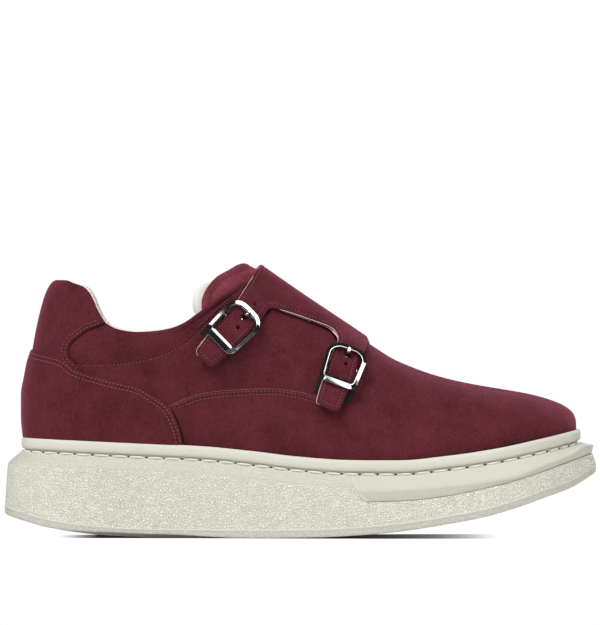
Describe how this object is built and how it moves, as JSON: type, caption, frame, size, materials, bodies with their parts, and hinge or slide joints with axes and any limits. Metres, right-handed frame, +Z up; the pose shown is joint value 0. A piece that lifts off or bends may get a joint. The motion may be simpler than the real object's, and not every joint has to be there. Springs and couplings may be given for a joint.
{
  "type": "elevator shoe",
  "caption": "Right low shoe in dark red suede with a double monk-strap instep flap on a thick cream rubber cup sole that raises the wearer.",
  "frame": {"origin": "on the floor, under the middle of the shoe's box", "axes": "+X towards the toe, +Y towards the inner (medial) side, -Y towards the outer side with the buckles, +Z up"},
  "size_m": [0.305, 0.1125, 0.1413],
  "materials": {
    "suede": "brushed burgundy suede, matt, with a short nap",
    "sole_rubber": "cream moulded rubber, satin, wall with a fine pebbled grain",
    "lining": "off-white smooth leather lining",
    "buckle_metal": "polished dark nickel",
    "elastic": "black woven elastic"
  },
  "bodies": {
    "root": {"upper": "suede", "heel_counter": "suede", "strap_flap": "suede", "tongue": "suede", "outsole": "sole_rubber", "midsole": "sole_rubber", "welt": "sole_rubber", "toe_bumper": "sole_rubber", "insole": "lining", "buckle_frame_rear": "buckle_metal", "buckle_frame_front": "buckle_metal", "buckle_prong_rear": "buckle_metal", "buckle_prong_front": "buckle_metal", "elastic_tab_rear": "elastic", "elastic_tab_front": "elastic"}
  },
  "joints": []
}
